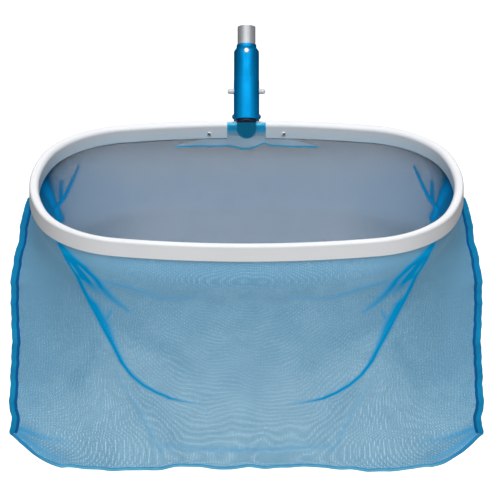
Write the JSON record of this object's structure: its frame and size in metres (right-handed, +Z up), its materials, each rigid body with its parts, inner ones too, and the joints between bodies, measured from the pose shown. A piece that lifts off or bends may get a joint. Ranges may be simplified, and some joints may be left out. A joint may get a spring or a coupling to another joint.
{
  "type": "leaf skimmer net",
  "caption": "Oval-framed leaf skimmer net with a deep hanging mesh bag and an angled tube handle that locks into a pole with spring buttons.",
  "frame": {"origin": "on the handle's axis, on the stretch of the handle tube that a pole grips, 66 mm up from the middle of the channel section", "axes": "+Z up with the frame level, +X along the frame's width, +Y from the bag's front towards the handle"},
  "size_m": [0.536, 0.3993, 0.4527],
  "materials": {
    "frame_white": "white powder coat, satin",
    "bar_aluminium": "mill",
    "screw_steel": "satin",
    "plug_plastic": "moulded",
    "handle_blue": "blue anodised",
    "rivet_blue": "blue anodised",
    "stub_aluminium": "satin",
    "stud_white": "satin",
    "spring_steel": "strip",
    "button_white": "moulded",
    "cord_white": "matt",
    "hem_blue": "folded net",
    "casing_blue": "folded net",
    "net_blue": "fine woven mesh",
    "binding_blue": "woven tape"
  },
  "bodies": {
    "skimmer": {"frame_rail": "frame_white", "yoke_bar": "bar_aluminium", "rail_screws": "screw_steel", "handle_plug": "plug_plastic", "handle_tube": "handle_blue", "cross_rivet": "rivet_blue", "pole_stub": "stub_aluminium", "stub_stud": "stud_white", "clip_spring": "spring_steel", "lock_cord": "cord_white", "mouth_hem": "hem_blue", "hem_casing": "casing_blue", "net_front": "net_blue", "net_back": "net_blue", "seam_left": "binding_blue", "seam_right": "binding_blue", "bottom_hem": "hem_blue"},
    "left_button": {"button_left": "button_white"},
    "right_button": {"button_right": "button_white"}
  },
  "joints": [
    {"name": "left_button_press", "type": "slide", "parent": "skimmer", "child": "left_button", "axis": [1, 0, 0], "range_m": [0, 0.007], "stiffness_N_per_m": 800, "springref_m": -0.002, "deforming": ["clip_spring"]},
    {"name": "right_button_press", "type": "slide", "parent": "skimmer", "child": "right_button", "axis": [-1, 0, 0], "range_m": [0, 0.007], "stiffness_N_per_m": 800, "springref_m": -0.002}
  ]
}
